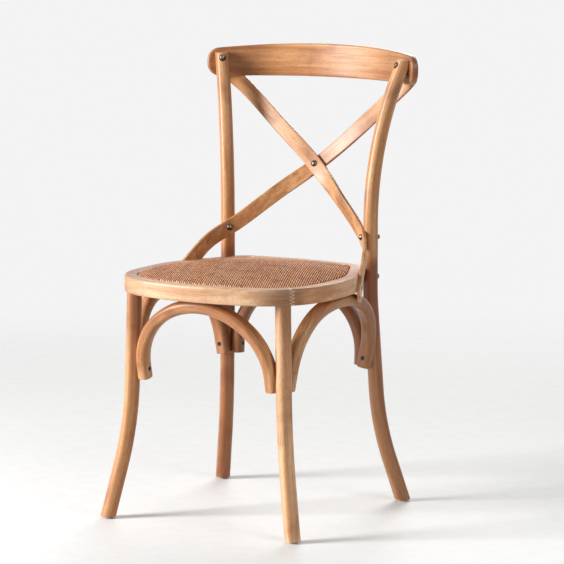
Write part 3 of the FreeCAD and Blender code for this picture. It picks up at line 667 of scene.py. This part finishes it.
# %% Finish of the strands that run one way
def split_rattan(name, along, across, first, second):
    """Rattan peel with its fibres along a strand, and a tone for each strand."""
    finish = Finish(name)
    where = finish.add("ShaderNodeUVMap", uv_map="strands").outputs["UV"]
    number = finish.calc("FLOOR", finish.calc("DIVIDE", finish.reach(where, across), strand_pitch))
    tone = finish.add("ShaderNodeTexWhiteNoise", {"W": number}, noise_dimensions="1D").outputs["Value"]
    fibre = finish.noise(where, per_metre=tuple(70.0 * along + 1500.0 * across), detail=3.0)
    patches = finish.noise(where, per_metre=24.0, detail=3.0)
    spots = finish.noise(where, per_metre=300.0, detail=1.0)
    exposed = finish.add("ShaderNodeAttribute", attribute_name="exposed").outputs["Fac"]
    colour = finish.blend(finish.band(patches, 0.35, 0.65), first, second)
    for mark, starts, is_full, share, over in (
        (tone, 0.0, 1.0, 0.40, rattan_pale),
        (spots, 0.50, 0.66, 0.80, rattan_pale),
        (patches, 0.45, 0.75, 0.25, rattan_dark),
        (fibre, 0.55, 0.75, 0.40, rattan_dark),
    ):
        colour = finish.blend(finish.band(mark, starts, is_full, 0.0, share), colour, over)
    # Painted shade: where a strand lies deep, under a crossing or at its edge, it turns nearly to
    # rattan_dark.
    colour = finish.blend(finish.band(exposed, 0.12, 0.60, 0.95, 0.0), colour, rattan_dark)
    finish.set(
        Base_Color=colour,
        Roughness=finish.band(fibre, 0.3, 0.7, 0.52, 0.68),
        Normal=finish.bump(fibre, distance=0.0001, strength=0.5),
        Specular_IOR_Level=0.15,
    )
    return finish


rattan = {
    "warp": split_rattan("rattan_warp", rearward, sideways, rattan_gold, rattan_rose),
    "weft": split_rattan("rattan_weft", sideways, rearward, rattan_red, rattan_brown),
}
print("rattan finishes:", ", ".join(rattan))

# %% [markdown]
# A strand is a thin strip, high where it passes over another and low where it
# dips under one, and its edges are lower than its middle. A flat grid with two
# steps for each crossing is enough to model that. The strip also notes how
# exposed each point is, and the finish darkens what lies deep, as painted shade
# in the gaps and under the crossings.

# %% One strip of rattan
strand_half_width = 0.0016
lift = 0.0010                  # how far a strand rises over the one it crosses
crown = 0.0012                 # rounding of a strand, from its edge to its middle
hidden_edge = 0.75             # how much less exposed a strand is at its edge


def strip(name, levels):
    """A strand along X over one crossing for each level: 1 is over, -1 under."""
    bpy.ops.object.select_all(action="DESELECT")
    steps = 2 * len(levels)
    bpy.ops.mesh.primitive_grid_add(x_subdivisions=steps, y_subdivisions=2, size=1.0)
    made = bpy.context.object
    made.name = name
    made.data.materials.append(rattan[name].material)
    exposed = made.data.attributes.new("exposed", "FLOAT", "POINT")
    for vertex in made.data.vertices:
        step = round((vertex.co.x + 0.5) * steps)
        before = levels[((step - 1) // 2) % len(levels)]
        after = levels[(step // 2) % len(levels)]
        side = round(vertex.co.y * 2)
        height = lift * (before + after) / 2 - crown * abs(side)
        vertex.co = (step * strand_pitch / 2, side * strand_half_width, height)
        exposed.data[vertex.index].value = (before + after + 2) / 4 - hidden_edge * abs(side)
    return made


print("a strand is", round(2000 * strand_half_width, 1), "mm wide")

# %% One patch of the weave
repeat = 5                     # over four, under one


def warp_is_over(warp, weft):
    """Each strand dips once in a repeat, and its neighbour two crossings later."""
    return (2 * warp + weft) % repeat > 0


patch = []
quarter_turn = Matrix.Rotation(math.radians(90), 4, "Z")
for warp in range(repeat):
    made = strip("warp", [1 if warp_is_over(warp, weft) else -1 for weft in range(repeat)])
    made.data.transform(Matrix.Translation(((warp + 0.5) * strand_pitch, 0, 0)) @ quarter_turn)
    patch.append(made)
for weft in range(repeat):
    made = strip("weft", [-1 if warp_is_over(warp, weft) else 1 for warp in range(repeat)])
    made.data.transform(Matrix.Translation((0, (weft + 0.5) * strand_pitch, 0)))
    patch.append(made)
bpy.ops.object.select_all(action="DESELECT")
for made in patch:
    made.select_set(True)
bpy.context.view_layer.objects.active = patch[0]
bpy.ops.object.join()
weave = bpy.context.object
weave.name = "rattan_weave"
print("patch faces:", len(weave.data.polygons))

# %% [markdown]
# Two array modifiers repeat the patch, first across the seat and then to the
# rear, and merge the ends of its strands into long ones. The real mat isn't laid
# square: its pale strands lean to one side as they run back. The map for the
# fibres is written before the mat is slanted, so that each strand keeps its own
# number and the fibres lean with it.

# %% Repeat the patch over the seat
seat_low, seat_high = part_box("seat_weave")
patch_size = repeat * strand_pitch
room_to_slant = 1.5            # width to weave, as a share of the seat's width
seat_width, seat_depth, _ = seat_high - seat_low
patches_across = math.ceil(seat_width * room_to_slant / patch_size + 2)
patches_deep = math.ceil(seat_depth / patch_size + 1)
for offset, count in (((patch_size, 0, 0), patches_across), ((0, patch_size, 0), patches_deep)):
    array = weave.modifiers.new("repeat", "ARRAY")
    array.use_relative_offset = False
    array.use_constant_offset = True
    array.constant_offset_displace = offset
    array.count = count
    array.use_merge_vertices = True
    array.merge_threshold = strand_pitch / 50
    bpy.ops.object.modifier_apply(modifier=array.name)
weave.data.transform(Matrix.Translation((seat_low.x - patch_size / 2, seat_low.y - patch_size / 2, 0)))
print("patches:", patches_across, "by", patches_deep, " woven faces:", len(weave.data.polygons))

# %% Write the map of the strands, then slant the mat
slant = 0.45                   # sideways for each step back
flat = weave.data.uv_layers.new(name="strands")
for corner in weave.data.loops:
    spot = weave.data.vertices[corner.vertex_index].co
    flat.data[corner.index].uv = (spot.x, spot.y)
for vertex in weave.data.vertices:
    vertex.co.x -= slant * (vertex.co.y - seat_low.y)
print("strands lean by", round(math.degrees(math.atan(slant))), "degrees")

# %% [markdown]
# The flat mat is laid on the pad the way it is stretched on the real seat. A
# cloth simulation would sag and wrinkle, but rattan is stiff and drawn tight.
# So each point drops straight down on the domed surface of the solid seat, and
# keeps its own height above it. Past the edge the strands are tucked down
# between the pad and the ring, and what reaches further is cut away.

# %% Lay the weave on the dome
weave_depth = 0.0008           # middle of the strands below the dome's surface
tucked = 0.0045                # length of strand tucked down between pad and ring
rim = seat_high.z - 0.0120     # where the dome's edge turns into an upright wall
above = seat_high.z + 0.05
solid = nodes["seat_weave"].data
solid.calc_loop_triangles()
dome = BVHTree.FromPolygons(
    [v.co for v in solid.vertices], [tuple(t.vertices) for t in solid.loop_triangles]
)
outside = []
for vertex in weave.data.vertices:
    x, y, rise = vertex.co
    spot, _, _, _ = dome.ray_cast(Vector((x, y, above)), -upright)
    if spot is not None and spot.z > rim:
        vertex.co.z = rise + spot.z - weave_depth
        continue
    spot, _, _, _ = dome.find_nearest(Vector((x, y, rim)))
    outward = Vector((x - spot.x, y - spot.y, 0))
    if outward.length > tucked:
        outside.append(vertex.index)
        continue
    inward = outward.normalized() * (rise - weave_depth)
    vertex.co = (spot.x + inward.x, spot.y + inward.y, rim - outward.length)
print("points on the seat:", len(weave.data.vertices) - len(outside))

# %% Cut away what lies outside the seat
bpy.ops.object.mode_set(mode="EDIT")
bpy.ops.mesh.select_mode(type="VERT")
bpy.ops.mesh.select_all(action="DESELECT")
bpy.ops.object.mode_set(mode="OBJECT")
for number in outside:
    weave.data.vertices[number].select = True
bpy.ops.object.mode_set(mode="EDIT")
bpy.ops.mesh.delete(type="VERT")
bpy.ops.object.mode_set(mode="OBJECT")
bpy.ops.object.shade_smooth()
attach(weave, "root")
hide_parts("seat_weave")
print("points cut away:", len(outside), " faces left:", len(weave.data.polygons))

# %% [markdown]
# Under the weave lies the pad: a crowned cushion, a little smaller than the
# space it fills, in a dark cloth whose dark paints the shade seen in the weave's
# gaps. It could be draped as cloth, but nothing of it is seen apart from that
# dark. So a copy of the solid pad is meshed evenly and drawn in by less than a
# millimetre.

# %% A copy of a solid piece
def copy_of(name, new_name):
    """A merged copy of a solid piece, as a piece of its own."""
    bpy.ops.object.select_all(action="DESELECT")
    made = nodes[name].copy()
    made.data = nodes[name].data.copy()
    made.name = new_name
    made.parent = None
    bpy.context.scene.collection.objects.link(made)
    made.select_set(True)
    bpy.context.view_layer.objects.active = made
    bpy.ops.object.mode_set(mode="EDIT")
    bpy.ops.mesh.select_all(action="SELECT")
    bpy.ops.mesh.remove_doubles(threshold=0.00002)
    bpy.ops.object.mode_set(mode="OBJECT")
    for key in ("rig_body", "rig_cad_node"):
        if key in made:
            del made[key]
    return made


pad = copy_of("seat_pad", "seat_cushion")
print("points of the solid pad:", len(pad.data.vertices))

# %% The pad under the weave
remesh = pad.modifiers.new("even", "REMESH")
remesh.mode = "VOXEL"
remesh.voxel_size = 0.005
bpy.ops.object.modifier_apply(modifier=remesh.name)
shrink = pad.modifiers.new("slack", "DISPLACE")
shrink.strength = -0.0008
shrink.mid_level = 0.0
bpy.ops.object.modifier_apply(modifier=shrink.name)
bpy.ops.object.shade_smooth()
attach(pad, "root")
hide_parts("seat_pad")
print("pad faces:", len(pad.data.polygons))

# %% Finish of the pad
cloth = Finish("pad_cloth")
threads = cloth.noise(cloth.place(), per_metre=1600.0, detail=2.0)
# The cloth is nearly black: painted shade for the weave's gaps.
cloth.set(
    Base_Color=cloth.blend(threads, (0.05, 0.025, 0.016, 1), (0.09, 0.05, 0.03, 1)),
    Roughness=0.9,
    Normal=cloth.bump(threads, distance=0.0002, strength=0.6),
)
pad.data.materials.clear()
pad.data.materials.append(cloth.material)
print("pad wears", cloth.material.name)

# %% [markdown]
# The studio is plain. The floor is a pale disc that keeps the chair's shadow
# and turns clear further out, so that no edge or horizon shows. Around it is an
# even white. What the camera and the reflections see of it is near white, but
# it sheds much less light than that, so that the lamps shape the chair.

# %% Floor
floor_radius = 4.0
fade_from, fade_to = 0.9, 2.6  # metres from the middle of the chair
bpy.ops.object.select_all(action="DESELECT")
bpy.ops.mesh.primitive_circle_add(vertices=96, radius=floor_radius, fill_type="NGON", location=(0, 0, 0))
floor = bpy.context.object
floor.name = "studio_floor"
ground = Finish("pale_floor")
distance = ground.add("ShaderNodeVectorMath", (ground.place(),), operation="LENGTH").outputs["Value"]
grit = ground.noise(ground.place(), per_metre=30.0, detail=3.0)
ground.set(
    Base_Color=ground.blend(ground.band(grit, 0.3, 0.7), (0.80, 0.80, 0.79, 1), (0.83, 0.83, 0.82, 1)),
    Roughness=0.45,
)
clear = ground.add("ShaderNodeBsdfTransparent").outputs[0]
fade = ground.band(distance, fade_from, fade_to)
mixed = ground.add("ShaderNodeMixShader", (fade, ground.shader.outputs[0], clear))
ground.plug(ground.output.inputs["Surface"], mixed.outputs[0])
floor.data.materials.append(ground.material)
print("floor radius in metres:", floor_radius)

# %% Surround
white_light = ((1.0, 1.0, 1.0, 1), 0.10)       # colour and strength of what lights the chair
white_view = ((0.90, 0.90, 0.90, 1), 1.0)      # colour and strength of what is seen
world = bpy.data.worlds.new("studio")
bpy.context.scene.world = world
world.use_nodes = True
world.node_tree.nodes.clear()
surround = Tree(world.node_tree)
ray = surround.add("ShaderNodeLightPath").outputs
is_seen = ray["Is Camera Ray"]
for kind in ("Is Glossy Ray", "Is Transmission Ray"):
    is_seen = surround.calc("MAXIMUM", is_seen, ray[kind])
light = surround.add("ShaderNodeBackground", white_light).outputs[0]
view = surround.add("ShaderNodeBackground", white_view).outputs[0]
either = surround.add("ShaderNodeMixShader", (is_seen, light, view)).outputs[0]
surround.add("ShaderNodeOutputWorld", {"Surface": either})
print("surround nodes:", len(world.node_tree.nodes))

# %% [markdown]
# The chair is lit from the left, as by a tall window: one strong lamp at seat
# height gives each bar a bright side and a shaded one. A weaker lamp on the
# right keeps the shaded sides open, and one behind lights the back. All are
# area lamps, because a small lamp would draw hard shadows and sharp glints.

# %% Lamps
middle = (chair_low + chair_high) / 2


def lamp(name, place, size, power):
    """A round area lamp that looks at the middle of the chair."""
    bpy.ops.object.light_add(type="AREA", location=place)
    made = bpy.context.object
    made.name = name
    made.data.shape = "DISK"
    made.data.size = size
    made.data.energy = power
    aim = middle - Vector(place)
    made.rotation_euler = aim.to_track_quat("-Z", "Y").to_euler()
    print(name, "at", place, "with", power, "watts")
    return made


window = lamp("window_lamp", (-2.15, -2.15, 1.4), 1.0, 180.0)
window.data.shape = "RECTANGLE"
window.data.size_y = 1.6
lamp("side_lamp", (2.9, -0.8, 1.9), 1.6, 30.0)
lamp("back_lamp", (-0.6, 2.6, 2.2), 1.6, 40.0)

# %% [markdown]
# The camera stands to the right of the chair's front and looks a little down.
# It stands far off and has a long lens, because a near camera with a short lens
# would spread the legs and make the seat loom. The colours are shown plainly:
# the usual view transform would fade the honey of the wood.

# %% Camera
azimuth = math.radians(30.72)
elevation = math.radians(8.38)
camera_place = Vector((2.9284, -4.85991, 1.27267))
backward = Vector((
    math.sin(azimuth) * math.cos(elevation),
    -math.cos(azimuth) * math.cos(elevation),
    math.sin(elevation),
))
bpy.ops.object.camera_add(location=camera_place)
camera = bpy.context.object
camera.name = "photo_camera"
camera.rotation_euler = (-backward).to_track_quat("-Z", "Y").to_euler()
camera.data.sensor_width = 36.0
camera.data.lens = 192.0
camera.data.clip_end = 100.0
bpy.context.scene.camera = camera
bpy.context.scene.view_settings.view_transform = "Standard"
print("camera distance in metres:", round((camera_place - middle).length, 2))

# %% [markdown]
